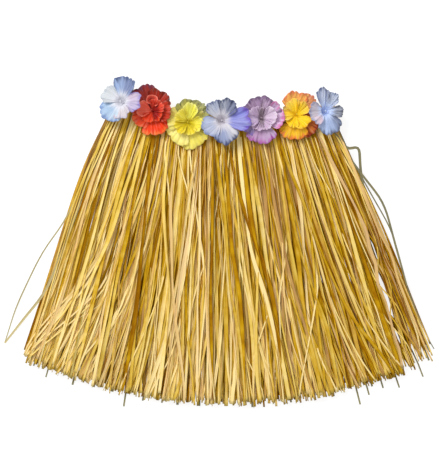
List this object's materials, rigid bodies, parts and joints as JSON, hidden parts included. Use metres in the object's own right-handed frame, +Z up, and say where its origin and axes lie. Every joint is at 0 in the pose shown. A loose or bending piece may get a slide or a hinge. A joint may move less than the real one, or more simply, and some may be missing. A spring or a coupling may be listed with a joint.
{
  "type": "grass skirt",
  "caption": "Raffia dance skirt laid flat: layered straw strands hang from a narrow elastic waistband trimmed with a row of cloth flowers.",
  "frame": {"origin": "on the table, under the middle of the laid skirt's outline", "axes": "+X across the skirt towards its right side as seen from above, +Y from the hem towards the waistband, +Z up from the table"},
  "size_m": [0.6202, 0.4794, 0.0426],
  "materials": {
    "raffia": "dry raffia straw with a slight sheen",
    "band": "matte woven elastic",
    "blue": "thin polyester cloth",
    "red": "thin polyester cloth",
    "yellow": "thin polyester cloth",
    "violet": "thin polyester cloth",
    "orange": "thin polyester cloth",
    "pistil": "moulded flower centre"
  },
  "bodies": {
    "root": {"waistband": "band", "raffia_back_outer": "raffia", "raffia_back_inner": "raffia", "raffia_front_inner": "raffia", "raffia_front_outer": "raffia", "raffia_over_left": "raffia", "raffia_over_right": "raffia", "flower_1_petals": "blue", "flower_1_pistil": "pistil", "flower_2_petals": "red", "flower_2_inner": "red", "flower_2_pistil": "pistil", "flower_3_petals": "yellow", "flower_3_inner": "yellow", "flower_3_pistil": "pistil", "flower_4_petals": "blue", "flower_4_pistil": "pistil", "flower_5_petals": "violet", "flower_5_inner": "violet", "flower_5_pistil": "pistil", "flower_6_petals": "orange", "flower_6_inner": "orange", "flower_6_pistil": "pistil", "flower_7_petals": "blue", "flower_7_pistil": "pistil"}
  },
  "joints": []
}
